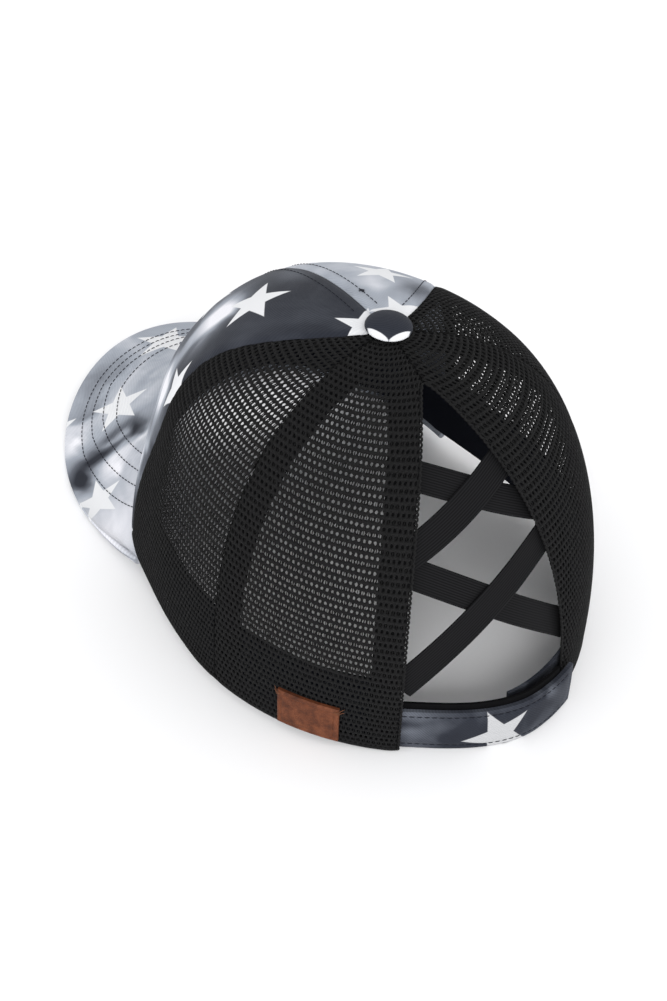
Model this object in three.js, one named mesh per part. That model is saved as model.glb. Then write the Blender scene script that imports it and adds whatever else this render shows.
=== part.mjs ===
// A soft baseball cap for a high ponytail: two printed cotton panels in front,
// four net panels at the sides and back, and a tall opening at the back that is
// laced with crossed elastic straps and closed at the rim by a fastened strap.
// Millimetres, +Z up. The brim points along -Y and the wearer's left is +X.
// The cap rests on the floor, z = 0, on its back rim and both sides of its brim.

import * as THREE from "three";

// Crown, in the cap's own frame: rim at z = 0, middle of the head at x = y = 0
const CROWN_HALF_WIDTH = 82;
const CROWN_FRONT_DEPTH = 105.5;
const CROWN_BACK_DEPTH = 89.3;
const CROWN_HEIGHT = 111.8;
const CROWN_FORWARD_LEAN = 9.6;
const BUTTON_HOLE_ANGLE = 87.4;

// Roundness of the crown: 2 is an ellipse, more is fuller
const PROFILE_POWER = { front: 2.24, side: 2.53, back: 2.19 };
const PLAN_POWER = { front: 2.22, back: 1.86 };

// Over each end of the brim the crown bulges out a little above its rim
const TEMPLE_BULGE = 3.5;
const TEMPLE_ANGLE = 55;
const TEMPLE_SPREAD = 10;

// Shallow dents of the left front: depth, angles of the middle and spreads, round and up
const DENTS = [
  { depth: 3.6, theta: 51, around: 16, phi: 22, up: 13 },
  { depth: 3.2, theta: 32, around: 18, phi: 44, up: 13 },
];

// Round the front the rim rises in an arch, where the brim is sewn to it
const RIM_ARCH_HEIGHT = 26;
const BRIM_SEAM_HALF_ANGLE = 61;

// Seams between the panels, in degrees from the front towards the wearer's left
const SEAM_FRONT_CENTRE = -5;
const SEAM_FRONT_LEFT = 55.5;
const SEAM_REAR_LEFT = 98.9;
const SEAM_REAR_CENTRE = 172;
const SEAM_REAR_RIGHT = 245.5;
const SEAM_FRONT_RIGHT = 299;

// From this far up the crown, the front panels' outer seams drift back towards the button
const DRIFT_START = 46;
const DRIFT_POWER = 1.7;
const DRIFT_LEFT = 21;
const DRIFT_RIGHT = -15.5;

// Walls, which are thicker where a seam or a hem doubles the cloth, and clearances
const COTTON_WALL = 1.6;
const NET_WALL = 1.2;
const SEAM_EXTRA = 0.6;
const SEAM_GAP = 0.3;
const LAYER_GAP = 0.4;

// Ponytail opening: a pointed arch between the two rear panels
const OPENING_HALF_ANGLE = 24;
const OPENING_TOP_ANGLE = 75.5;
const OPENING_POWER = 2.5;

// Sweatband inside the rim
const SWEATBAND_HEIGHT = 29;
const SWEATBAND_WALL = 1.5;
const SWEATBAND_RAISE = 1.5;
const SWEATBAND_END_MARGIN = 4.5;

// Brim: its outer edge is an arc of an ellipse whose height dips at both sides
const BRIM_HALF_WIDTH = 78.7;
const BRIM_EDGE_CENTRE = 81;
const BRIM_EDGE_REACH = 102;
const BRIM_EDGE_HALF_ANGLE = 105.5;
const BRIM_EDGE_HEIGHT = { level: -0.3, once: -14.8, twice: 7.6, thrice: 2.2 };
const BRIM_SAG = 1.9;
const BRIM_THICKNESS = 2.6;

// Covered button on top
const BUTTON_RADIUS = 8.3;
const BUTTON_RISE = 4.4;
const BUTTON_LIP = 1.2;
const BUTTON_SHANK_RADIUS = 2.6;
const BUTTON_SHANK_LENGTH = 2.6;

// Elastic straps across the opening: from the left hem over a middle point to
// the right hem, each point given by its angle round the head and up the crown
const ELASTIC_WIDTH = 10.6;
const ELASTIC_THICKNESS = 1;
const ELASTIC_ROUTES = [
  { name: "elastic_strap_1", layer: 0, from: [147.5, 38.5], over: [170.0, 48.6], to: [195.5, 54.6] },
  { name: "elastic_strap_2", layer: 0, from: [147.5, 12.0], over: [172.0, 28.4], to: [197.0, 35.6] },
  { name: "elastic_strap_3", layer: 1, from: [151.0, 56.6], over: [168.5, 53.0], to: [198.0, 41.8] },
  { name: "elastic_strap_4", layer: 1, from: [147.5, 36.4], over: [171.0, 29.4], to: [201.8, 12.2] },
];

// Closure at the rim: a printed strap that passes from inside the left hem to
// outside the right one, its black backing, and the tab from the right panel
const CLOSURE_HEIGHT = 18;
const CLOSURE_WALL = 1.5;
const CLOSURE_TUCK_ANGLE = 2.5;
const CLOSURE_LAP_ANGLE = 0.8;
const CLOSURE_STAND_OFF = 1.6;
const CLOSURE_SHIFT_ANGLES = { from: 150, to: 184 };
const BACKING_WALL = 1;
const BACKING_EXTRA_HEIGHT = 2.2;
const BACKING_RAISE = 0.8;
const BACKING_ANGLES = { from: 146.5, to: 192.5 };
const TAB_WALL = 1.2;
const TAB_EXTRA_HEIGHT = 0.8;
const TAB_REACH_ANGLE = 19;
const TAB_TUCK_ANGLE = 7.5;

// Leather label outside the left rear panel, at its rim
const LABEL_WIDTH = 22;
const LABEL_HEIGHT = 16;
const LABEL_THICKNESS = 1.2;
const LABEL_MIDDLE_ANGLE = 126;
const LABEL_RAISE = 1.4;

// How far the soft rim and the brim's edge are flattened where they rest
const FLOOR_PRESS = 0.5;
const MIDDLE_BEHIND_ORIGIN = 45.38;
const STEEPEST_REST = 12;
const REST_ROUNDS = 50;

// Steps of the faceted surfaces
const ANGLE_STEP = 5;
const RISE_STEP = 6;
const OPENING_TOP_SHARES = [0.88, 0.93, 0.97, 1];
const BAND_STEP = 10;
const BRIM_STEPS = { round: 28, out: 7 };
const ELASTIC_STEPS = 12;
const BUTTON_STEPS = { turn: 24, rise: 6 };

// Half the reach over which a curve's direction is measured
const ANGLE_NUDGE = 0.5;
const SHARE_NUDGE = 0.02;

const rad = THREE.MathUtils.degToRad;
const deg = THREE.MathUtils.radToDeg;
const lerp = THREE.MathUtils.lerp;

function planSquareness(sine, cosine) {
  const power = cosine > 0 ? PLAN_POWER.front : PLAN_POWER.back;
  return (Math.abs(sine) ** power + Math.abs(cosine) ** power) ** (-1 / power);
}

function archHeight(theta) {
  const sine = Math.sin(rad(theta));
  const cosine = Math.cos(rad(theta));
  if (cosine <= 0) return 0;
  const seamSine = Math.sin(rad(BRIM_SEAM_HALF_ANGLE));
  const seamReach = seamSine * planSquareness(seamSine, Math.cos(rad(BRIM_SEAM_HALF_ANGLE)));
  const share = (sine * planSquareness(sine, cosine)) / seamReach;
  return RIM_ARCH_HEIGHT * Math.max(1 - share * share, 0);
}

function profilePower(sine, cosine) {
  const front = Math.max(cosine, 0) ** 2;
  const back = Math.max(-cosine, 0) ** 2;
  return PROFILE_POWER.front * front + PROFILE_POWER.back * back + PROFILE_POWER.side * sine * sine;
}

function templeBulge(theta, rise) {
  const fromFront = Math.abs(THREE.MathUtils.euclideanModulo(theta + 180, 360) - 180);
  const share = (fromFront - TEMPLE_ANGLE) / TEMPLE_SPREAD;
  return TEMPLE_BULGE * Math.exp(-share * share) * (1 - rise) ** 2;
}

function dentDepth(theta, phi) {
  const dents = DENTS.map((dent) => {
    const around = ((((theta - dent.theta + 180) % 360) + 360) % 360 - 180) / dent.around;
    return dent.depth * Math.exp(-(around ** 2) - ((phi - dent.phi) / dent.up) ** 2);
  });
  return dents.reduce((sum, depth) => sum + depth, 0);
}

// Outer surface of the crown, by the angle round the head and the angle up from the rim
function crownPoint(theta, phi) {
  const sine = Math.sin(rad(theta));
  const cosine = Math.cos(rad(theta));
  const power = profilePower(sine, cosine);
  const reach = Math.cos(rad(phi)) ** (2 / power);
  const rise = Math.sin(rad(phi)) ** (2 / power);
  const plan = lerp(planSquareness(sine, cosine), 1, rise);
  const depth = cosine > 0 ? CROWN_FRONT_DEPTH : CROWN_BACK_DEPTH;
  const bulge = templeBulge(theta, rise) - dentDepth(theta, phi);
  return new THREE.Vector3(
    (CROWN_HALF_WIDTH * reach * plan + bulge) * sine,
    -(depth * reach * plan + bulge) * cosine - CROWN_FORWARD_LEAN * rise,
    lerp(archHeight(theta), CROWN_HEIGHT, rise),
  );
}

// Angle up the crown at which the wall stands a given height above its rim
function angleAtHeight(theta, height) {
  const power = profilePower(Math.sin(rad(theta)), Math.cos(rad(theta)));
  const rise = height / (CROWN_HEIGHT - archHeight(theta));
  return deg(Math.asin(rise ** (power / 2)));
}

function inwardNormal(theta, phi) {
  const at = Math.max(phi, 2 * ANGLE_NUDGE);
  const round = crownPoint(theta + ANGLE_NUDGE, at).sub(crownPoint(theta - ANGLE_NUDGE, at));
  const up = crownPoint(theta, at + ANGLE_NUDGE).sub(crownPoint(theta, at - ANGLE_NUDGE));
  return up.cross(round).normalize();
}

// The floor as seen in the cap's own frame, which is tilted and lifted to rest on it
let restPitch = 0;
let restLift = 0;

function settleOnFloor(point) {
  const floor = (-restLift - point.y * Math.sin(restPitch)) / Math.cos(restPitch);
  point.z = Math.max(point.z, floor);
  return point;
}

function wallPoint(theta, phi, inset) {
  return crownPoint(theta, phi).addScaledVector(inwardNormal(theta, phi), inset);
}

function stepsBetween(from, to, step) {
  const count = Math.max(Math.ceil(Math.abs(to - from) / step), 1);
  return Array.from({ length: count + 1 }, (_, i) => lerp(from, to, i / count));
}

// A closed plate from a grid of points: face(i, j, side) gives the point of
// column i and row j on the outer side, 0, or the inner side, 1
function plate(columns, rows, face) {
  const points = [];
  const triangles = [];
  const lastColumn = columns - 1;
  const lastRow = rows - 1;
  const index = (i, j, side) => (side * rows + j) * columns + i;
  for (let side = 0; side < 2; side += 1) {
    for (let j = 0; j < rows; j += 1) {
      for (let i = 0; i < columns; i += 1) {
        points.push(...settleOnFloor(face(i, j, side)));
      }
    }
  }
  const quad = (a, b, c, d) => triangles.push(a, b, c, a, c, d);
  for (let j = 0; j < lastRow; j += 1) {
    for (let i = 0; i < lastColumn; i += 1) {
      quad(index(i, j, 0), index(i + 1, j, 0), index(i + 1, j + 1, 0), index(i, j + 1, 0));
      quad(index(i, j, 1), index(i, j + 1, 1), index(i + 1, j + 1, 1), index(i + 1, j, 1));
    }
    quad(index(0, j, 1), index(0, j, 0), index(0, j + 1, 0), index(0, j + 1, 1));
    quad(
      index(lastColumn, j, 0),
      index(lastColumn, j, 1),
      index(lastColumn, j + 1, 1),
      index(lastColumn, j + 1, 0),
    );
  }
  for (let i = 0; i < lastColumn; i += 1) {
    quad(index(i, 0, 0), index(i, 0, 1), index(i + 1, 0, 1), index(i + 1, 0, 0));
    quad(
      index(i, lastRow, 0),
      index(i + 1, lastRow, 0),
      index(i + 1, lastRow, 1),
      index(i, lastRow, 1),
    );
  }
  const geometry = new THREE.BufferGeometry();
  geometry.setAttribute("position", new THREE.Float32BufferAttribute(points, 3));
  geometry.setIndex(triangles);
  geometry.computeVertexNormals();
  return geometry;
}

// Half the angle between the two hems at a height up the crown
function openingHalfAngle(phi) {
  const share = Math.min(phi / OPENING_TOP_ANGLE, 1);
  return OPENING_HALF_ANGLE * Math.sqrt(1 - share ** OPENING_POWER);
}

// One crown panel between two edges, each a function of the angle up the crown
function crownPanel(edgeFrom, edgeTo, wall, rises) {
  const columns = Math.ceil((edgeTo(0) - edgeFrom(0)) / ANGLE_STEP) + 1;
  return plate(columns, rises.length, (i, j, side) => {
    const phi = rises[j];
    const middle = crownPoint((edgeFrom(phi) + edgeTo(phi)) / 2, phi);
    const radius = Math.hypot(middle.x, middle.y + CROWN_FORWARD_LEAN * Math.sin(rad(phi)));
    const margin = deg(SEAM_GAP / 2 / radius);
    const theta = lerp(edgeFrom(phi) + margin, edgeTo(phi) - margin, i / (columns - 1));
    const seam = i === 0 || i === columns - 1 ? SEAM_EXTRA : 0;
    return wallPoint(theta, phi, side * (wall + seam));
  });
}

const PLAIN_RISES = stepsBetween(0, BUTTON_HOLE_ANGLE, RISE_STEP);
const OPENING_RISES = [
  ...stepsBetween(0, OPENING_TOP_SHARES[0] * OPENING_TOP_ANGLE, RISE_STEP),
  ...OPENING_TOP_SHARES.slice(1).map((share) => share * OPENING_TOP_ANGLE),
  ...stepsBetween(OPENING_TOP_ANGLE, BUTTON_HOLE_ANGLE, RISE_STEP).slice(1),
];

const straight = (seam) => () => seam;
const drifting = (seam, drift) => (phi) => {
  const share = Math.max(phi - DRIFT_START, 0) / (BUTTON_HOLE_ANGLE - DRIFT_START);
  return seam + drift * share ** DRIFT_POWER;
};
const leftHem = (phi) => SEAM_REAR_CENTRE - openingHalfAngle(phi);
const rightHem = (phi) => SEAM_REAR_CENTRE + openingHalfAngle(phi);

// A band that lies along the rim between two angles round the head
function rimBand({ from, to, low, high, inset, wall }) {
  const thetas = stepsBetween(from, to, ANGLE_STEP);
  const levels = stepsBetween(low, high, BAND_STEP);
  return plate(thetas.length, levels.length, (i, j, side) => {
    const theta = thetas[i];
    const outer = typeof inset === "function" ? inset(theta) : inset;
    return wallPoint(theta, angleAtHeight(theta, levels[j]), outer + side * wall);
  });
}

const INSIDE_COTTON = COTTON_WALL + SEAM_EXTRA + LAYER_GAP;
const INSIDE_NET = NET_WALL + SEAM_EXTRA + LAYER_GAP;

function sweatband() {
  return rimBand({
    from: rightHem(0) + TAB_TUCK_ANGLE + SWEATBAND_END_MARGIN - 360,
    to: leftHem(0) - SWEATBAND_END_MARGIN,
    low: SWEATBAND_RAISE,
    high: SWEATBAND_RAISE + SWEATBAND_HEIGHT,
    inset: INSIDE_COTTON,
    wall: SWEATBAND_WALL,
  });
}

// Depth of the closure strap's outer face under the crown's surface: inside the
// left hem at one end, and outside the right hem at the other
function closureInset(theta) {
  const share = THREE.MathUtils.smoothstep(theta, CLOSURE_SHIFT_ANGLES.from, CLOSURE_SHIFT_ANGLES.to);
  return lerp(INSIDE_NET, -LAYER_GAP - CLOSURE_WALL - CLOSURE_STAND_OFF, share);
}

function closureStrap() {
  return rimBand({
    from: leftHem(0) - CLOSURE_TUCK_ANGLE,
    to: rightHem(0) + CLOSURE_LAP_ANGLE,
    low: 0,
    high: CLOSURE_HEIGHT,
    inset: closureInset,
    wall: CLOSURE_WALL,
  });
}

function closureBacking() {
  return rimBand({
    ...BACKING_ANGLES,
    low: BACKING_RAISE,
    high: CLOSURE_HEIGHT + BACKING_EXTRA_HEIGHT,
    inset: (theta) => closureInset(theta) + CLOSURE_WALL + LAYER_GAP,
    wall: BACKING_WALL,
  });
}

function closureTab() {
  return rimBand({
    from: rightHem(0) - TAB_REACH_ANGLE,
    to: rightHem(0) + TAB_TUCK_ANGLE,
    low: BACKING_RAISE,
    high: CLOSURE_HEIGHT + TAB_EXTRA_HEIGHT,
    inset: INSIDE_NET + LAYER_GAP,
    wall: TAB_WALL,
  });
}

function leatherLabel() {
  const rim = crownPoint(LABEL_MIDDLE_ANGLE, 0);
  const halfAngle = deg(LABEL_WIDTH / 2 / Math.hypot(rim.x, rim.y));
  return rimBand({
    from: LABEL_MIDDLE_ANGLE - halfAngle,
    to: LABEL_MIDDLE_ANGLE + halfAngle,
    low: LABEL_RAISE,
    high: LABEL_RAISE + LABEL_HEIGHT,
    inset: -LAYER_GAP - LABEL_THICKNESS,
    wall: LABEL_THICKNESS,
  });
}

// Angles round the head and up the crown along a strap, bowed to pass its middle point
function elasticAngles({ from, over, to }, share) {
  const middle = (over[0] - from[0]) / (to[0] - from[0]);
  const bow = (over[1] - lerp(from[1], to[1], middle)) / (middle * (1 - middle));
  return [
    lerp(from[0], to[0], share),
    lerp(from[1], to[1], share) + bow * share * (1 - share),
  ];
}

// Elastic strap along its route inside the hems, flat across its width
function elasticStrap(route) {
  const inset = INSIDE_NET + route.layer * (ELASTIC_THICKNESS + LAYER_GAP);
  const middleAt = (share) => wallPoint(...elasticAngles(route, share), inset);
  const shares = stepsBetween(0, 1, 1 / ELASTIC_STEPS);
  return plate(shares.length, 2, (i, j, side) => {
    const share = shares[i];
    const along = middleAt(share + SHARE_NUDGE).sub(middleAt(share - SHARE_NUDGE)).normalize();
    const inward = inwardNormal(...elasticAngles(route, share));
    const downward = inward.clone().cross(along).normalize();
    return middleAt(share)
      .addScaledVector(downward, (0.5 - j) * ELASTIC_WIDTH)
      .addScaledVector(inward, side * ELASTIC_THICKNESS);
  });
}

// Middle surface of the brim: lofted from the seam at the crown's rim to the outer edge
function brimSeamPoint(share) {
  const theta = share * BRIM_SEAM_HALF_ANGLE;
  const point = wallPoint(theta, 0, COTTON_WALL);
  point.z = archHeight(theta) - SEAM_GAP - BRIM_THICKNESS / 2;
  return point;
}

function brimEdgePoint(share) {
  const alpha = rad(share * BRIM_EDGE_HALF_ANGLE);
  const height = BRIM_EDGE_HEIGHT;
  return new THREE.Vector3(
    BRIM_HALF_WIDTH * Math.sin(alpha),
    -BRIM_EDGE_CENTRE - BRIM_EDGE_REACH * Math.cos(alpha),
    height.level + height.once * Math.cos(alpha) + height.twice * Math.cos(2 * alpha)
      + height.thrice * Math.cos(3 * alpha),
  );
}

function brimPoint(share, out) {
  const point = brimSeamPoint(share).lerp(brimEdgePoint(share), out);
  point.z -= BRIM_SAG * 4 * out * (1 - out);
  return point;
}

function brimNormal(share, out) {
  const across = brimPoint(share + SHARE_NUDGE, out).sub(brimPoint(share - SHARE_NUDGE, out));
  const outward = brimPoint(share, out + SHARE_NUDGE).sub(brimPoint(share, out - SHARE_NUDGE));
  return outward.cross(across).normalize();
}

const BRIM_SHARES = stepsBetween(-1, 1, 2 / BRIM_STEPS.round);

function brim() {
  const outs = stepsBetween(0, 1, 1 / BRIM_STEPS.out);
  return plate(BRIM_SHARES.length, outs.length, (i, j, side) => {
    const upward = (side - 0.5) * BRIM_THICKNESS;
    return brimPoint(BRIM_SHARES[i], outs[j])
      .addScaledVector(brimNormal(BRIM_SHARES[i], outs[j]), upward);
  });
}

// The tilt at which the back rim and the sides of the brim are equally low
function lowest(points, pitch) {
  const heights = points.map((point) => point.y * Math.sin(pitch) + point.z * Math.cos(pitch));
  return Math.min(...heights);
}

function rest() {
  const backRim = stepsBetween(90, 270, ANGLE_STEP).map((theta) => crownPoint(theta, 0));
  const brimEdge = BRIM_SHARES.map((share) => (
    brimEdgePoint(share).addScaledVector(brimNormal(share, 1), -BRIM_THICKNESS / 2)
  ));
  let backDown = rad(-STEEPEST_REST);
  let brimDown = rad(STEEPEST_REST);
  for (let round = 0; round < REST_ROUNDS; round += 1) {
    const pitch = (backDown + brimDown) / 2;
    if (lowest(brimEdge, pitch) > lowest(backRim, pitch)) backDown = pitch;
    else brimDown = pitch;
  }
  return { pitch: backDown, lift: -lowest(backRim, backDown) - FLOOR_PRESS };
}

function button() {
  const dome = stepsBetween(0, 1, 1 / BUTTON_STEPS.rise).map((share) => {
    const turn = rad(90 * share);
    const height = LAYER_GAP + BUTTON_LIP + (BUTTON_RISE - BUTTON_LIP) * Math.sin(turn);
    return new THREE.Vector2(share === 1 ? 0 : BUTTON_RADIUS * Math.cos(turn), height);
  });
  const profile = [
    new THREE.Vector2(0, -BUTTON_SHANK_LENGTH),
    new THREE.Vector2(BUTTON_SHANK_RADIUS, -BUTTON_SHANK_LENGTH),
    new THREE.Vector2(BUTTON_SHANK_RADIUS, LAYER_GAP),
    new THREE.Vector2(BUTTON_RADIUS - BUTTON_LIP, LAYER_GAP),
    ...dome,
  ];
  return new THREE.LatheGeometry(profile, BUTTON_STEPS.turn).rotateX(Math.PI / 2);
}

function finish(color, roughness) {
  return new THREE.MeshStandardMaterial({ color, roughness, metalness: 0 });
}

const printedCotton = finish(0x4a5064, 0.85);
const blackNet = finish(0x1a1a1c, 0.8);
const blackElastic = finish(0x131315, 0.75);
const blackLining = finish(0x101218, 0.7);
const brownLeather = finish(0x7a4630, 0.55);

({ pitch: restPitch, lift: restLift } = rest());

const cap = new THREE.Group();
cap.rotation.x = restPitch;
cap.position.set(0, MIDDLE_BEHIND_ORIGIN, restLift);

function add(name, geometry, material) {
  const mesh = new THREE.Mesh(geometry, material);
  mesh.name = name;
  cap.add(mesh);
  return mesh;
}

const frontCentre = straight(SEAM_FRONT_CENTRE);
const frontLeft = drifting(SEAM_FRONT_LEFT, DRIFT_LEFT);
const frontRight = drifting(SEAM_FRONT_RIGHT - 360, DRIFT_RIGHT);
const rearLeft = straight(SEAM_REAR_LEFT);
const rearRight = straight(SEAM_REAR_RIGHT);

const frontPanel = (from, to) => crownPanel(from, to, COTTON_WALL, PLAIN_RISES);
const sideNet = (from, to) => crownPanel(from, to, NET_WALL, PLAIN_RISES);
const rearNet = (from, to) => crownPanel(from, to, NET_WALL, OPENING_RISES);

add("front_panel_left", frontPanel(frontCentre, frontLeft), printedCotton);
add("front_panel_right", frontPanel(frontRight, frontCentre), printedCotton);
add("side_net_left", sideNet(frontLeft, rearLeft), blackNet);
add("side_net_right", sideNet(rearRight, drifting(SEAM_FRONT_RIGHT, DRIFT_RIGHT)), blackNet);
add("rear_net_left", rearNet(rearLeft, leftHem), blackNet);
add("rear_net_right", rearNet(rightHem, rearRight), blackNet);
add("sweatband", sweatband(), blackLining);
add("brim", brim(), printedCotton);
add("closure_strap", closureStrap(), printedCotton);
add("closure_backing", closureBacking(), blackLining);
add("closure_tab", closureTab(), printedCotton);
add("leather_label", leatherLabel(), brownLeather);
for (const route of ELASTIC_ROUTES) add(route.name, elasticStrap(route), blackElastic);
add("button", button(), printedCotton).position.set(0, -CROWN_FORWARD_LEAN, CROWN_HEIGHT);

export default cap;
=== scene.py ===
# Looks of the ponytail baseball cap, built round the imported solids.
# Lengths are in millimetres in the cap's own frame, as in the source, and become
# metres in the row frame in to_row.

import math

import bpy
import numpy as np
from mathutils import Matrix, Vector


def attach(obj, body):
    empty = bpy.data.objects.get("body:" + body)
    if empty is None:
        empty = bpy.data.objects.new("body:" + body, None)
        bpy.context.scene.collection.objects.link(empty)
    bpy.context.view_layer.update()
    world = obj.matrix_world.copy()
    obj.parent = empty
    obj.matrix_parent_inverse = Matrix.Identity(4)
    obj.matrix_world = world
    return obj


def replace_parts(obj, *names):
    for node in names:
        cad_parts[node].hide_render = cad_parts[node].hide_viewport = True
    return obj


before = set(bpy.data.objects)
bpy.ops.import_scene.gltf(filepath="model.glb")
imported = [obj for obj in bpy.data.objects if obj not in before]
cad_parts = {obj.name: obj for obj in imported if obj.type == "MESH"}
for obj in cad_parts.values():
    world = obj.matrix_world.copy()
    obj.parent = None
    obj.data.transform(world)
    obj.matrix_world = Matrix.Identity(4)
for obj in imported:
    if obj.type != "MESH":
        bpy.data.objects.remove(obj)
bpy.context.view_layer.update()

# The cap's tilt and place when it rests on the floor
REST_PITCH = math.radians(-3.97810)
REST_BACK = 45.38
REST_LIFT = 5.6952

# Crown, as in the solids
HALF_WIDTH = 82
FRONT_DEPTH = 105.5
BACK_DEPTH = 89.3
HEIGHT = 111.8
LEAN = 9.6
HOLE_ANGLE = 87.4
PROFILE_POWER = {"front": 2.24, "side": 2.53, "back": 2.19}
PLAN_POWER = {"front": 2.22, "back": 1.86}
BULGE = {"size": 3.5, "angle": 55, "spread": 10}
# depth, angle round, spread round, angle up, spread up
DENTS = [(3.6, 51, 16, 22, 13), (3.2, 32, 18, 44, 13)]
ARCH_HEIGHT = 26
BRIM_SEAM_ANGLE = 61
SEAMS = {
    "front_centre": -5,
    "front_left": 55.5,
    "rear_left": 98.9,
    "rear_centre": 172,
    "rear_right": 245.5,
    "front_right": 299,
}
DRIFT = {"start": 46, "power": 1.7, "left": 21, "right": -15.5}
OPENING = {"half": 24, "top": 75.5, "power": 2.5}

# Walls and clearances
COTTON_WALL = 1.6
NET_WALL = 1.2
NET_THICKNESS = 0.7
SEAM_EXTRA = 0.6
LAYER_GAP = 0.4
INSIDE_COTTON = COTTON_WALL + SEAM_EXTRA + LAYER_GAP
INSIDE_NET = NET_WALL + SEAM_EXTRA + LAYER_GAP

# Net: staggered rows of holes, every second row crossed by a thin thread behind it
NET_PITCH = 1.85
NET_ROW = 2.42
ROUND_HOLE = (1.02, 1.22)
CROSSED_HOLE = (1.28, 1.36)
CROSS_THREAD = 0.38
UNEVEN = 0.07

# Grooves along the seams: depth and width
COTTON_SEAM = (0.7, 1.3)
NET_SEAM = (0.35, 1.6)
NET_MARGIN = 0.1

# Stitches: pitch, length of one and the thread's radius
BRIM_THREAD = (2.6, 2.1, 0.2)
PANEL_THREAD = (2.6, 2.1, 0.17)
STRAP_THREAD = (2.6, 2.0, 0.18)
STRAP_END_THREAD = (2.4, 1.9, 0.18)
STITCH_SAMPLE = 0.1
# How a stitch rises and dips along its length, for a thread of this radius
STITCH_BOW = np.array([-0.12, 0.16, 0.2, 0.2, 0.16, -0.12])
BOW_RADIUS = 0.2
END_TAPER = 0.55

random = np.random.default_rng(7)


def rad(angle):
    return np.radians(angle)


def sine_cosine(angle):
    return np.sin(rad(angle)), np.cos(rad(angle))


def squareness(sine, cosine):
    power = np.where(cosine > 0, PLAN_POWER["front"], PLAN_POWER["back"])
    return (abs(sine) ** power + abs(cosine) ** power) ** (-1 / power)


def arch(theta):
    sine, cosine = sine_cosine(theta)
    seam = rad(float(BRIM_SEAM_ANGLE))
    reach = np.sin(seam) * squareness(np.sin(seam), np.cos(seam))
    share = sine * squareness(sine, cosine) / reach
    return np.where(cosine > 0, ARCH_HEIGHT * np.maximum(1 - share * share, 0), 0.0)


def profile_power(theta):
    sine, cosine = sine_cosine(theta)
    return (
        PROFILE_POWER["front"] * np.maximum(cosine, 0) ** 2
        + PROFILE_POWER["back"] * np.maximum(-cosine, 0) ** 2
        + PROFILE_POWER["side"] * sine**2
    )


def crown(theta, phi):
    theta, phi = np.broadcast_arrays(np.asarray(theta, float), np.asarray(phi, float))
    sine, cosine = sine_cosine(theta)
    power = profile_power(theta)
    reach = np.cos(rad(phi)) ** (2 / power)
    rise = np.sin(rad(phi)) ** (2 / power)
    square = squareness(sine, cosine)
    plan = square + (1 - square) * rise
    depth = np.where(cosine > 0, FRONT_DEPTH, BACK_DEPTH)
    from_front = abs((theta + 180) % 360 - 180)
    bulge = BULGE["size"] * np.exp(-(((from_front - BULGE["angle"]) / BULGE["spread"]) ** 2))
    bulge = bulge * (1 - rise) ** 2
    for dent, middle, around, height, up in DENTS:
        offset = (theta - middle + 180) % 360 - 180
        bulge = bulge - dent * np.exp(-((offset / around) ** 2) - ((phi - height) / up) ** 2)
    low = arch(theta)
    x = (HALF_WIDTH * reach * plan + bulge) * sine
    y = -(depth * reach * plan + bulge) * cosine - LEAN * rise
    return np.stack([x, y, low + (HEIGHT - low) * rise], -1)


def unit(vectors):
    return vectors / np.linalg.norm(vectors, axis=-1, keepdims=True)


def inward(theta, phi, step=0.5):
    at = np.maximum(phi, 2 * step)
    along = crown(theta + step, at) - crown(theta - step, at)
    up = crown(theta, at + step) - crown(theta, at - step)
    return unit(np.cross(up, along))


def wall(theta, phi, inset):
    inset = np.asarray(inset, float)
    return crown(theta, phi) + inward(theta, phi) * inset[..., None]


def angle_at(theta, height):
    rise = np.clip(height / (HEIGHT - arch(theta)), 0, 1)
    return np.degrees(np.arcsin(rise ** (profile_power(theta) / 2)))


def opening_half(phi):
    share = np.minimum(np.asarray(phi, float) / OPENING["top"], 1)
    return OPENING["half"] * np.sqrt(1 - share ** OPENING["power"])


def left_hem(phi):
    return SEAMS["rear_centre"] - opening_half(phi)


def right_hem(phi):
    return SEAMS["rear_centre"] + opening_half(phi)


def straight(seam):
    return lambda phi: seam + 0 * np.asarray(phi, float)


def drifting(seam, drift):
    def edge(phi):
        share = np.maximum(np.asarray(phi, float) - DRIFT["start"], 0) / (HOLE_ANGLE - DRIFT["start"])
        return seam + drift * share ** DRIFT["power"]

    return edge


def mm_per_degree(theta, phi):
    return np.linalg.norm(crown(theta + 0.5, phi) - crown(theta - 0.5, phi), axis=-1)


def lengths_along(points):
    steps = np.linalg.norm(np.diff(points, axis=0), axis=1)
    return np.concatenate([[0], np.cumsum(steps)])


def meridian(theta, to=89.0, count=1500):
    """Angles up the crown and the lengths along the wall from the rim to each."""
    phi = np.linspace(0, to, count)
    return phi, lengths_along(crown(np.full(count, float(theta)), phi))


# Brim, as in the solids
BRIM = {
    "half_width": 78.7,
    "centre": 81,
    "reach": 102,
    "angle": 105.5,
    "level": -0.3,
    "once": -14.8,
    "twice": 7.6,
    "thrice": 2.2,
    "sag": 1.9,
    "thickness": 2.6,
    "gap": 0.3,
}


def brim_middle(share, out):
    share, out = np.broadcast_arrays(np.asarray(share, float), np.asarray(out, float))
    theta = share * BRIM_SEAM_ANGLE
    seam = wall(theta, np.zeros_like(theta), np.full(theta.shape, COTTON_WALL))
    seam[..., 2] = arch(theta) - BRIM["gap"] - BRIM["thickness"] / 2
    turn = rad(share * BRIM["angle"])
    height = BRIM["level"] + BRIM["once"] * np.cos(turn) + BRIM["twice"] * np.cos(2 * turn)
    height = height + BRIM["thrice"] * np.cos(3 * turn)
    x = BRIM["half_width"] * np.sin(turn)
    y = -BRIM["centre"] - BRIM["reach"] * np.cos(turn)
    edge = np.stack([x, y, height], -1)
    point = seam + (edge - seam) * out[..., None]
    point[..., 2] -= BRIM["sag"] * 4 * out * (1 - out)
    return point


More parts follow.
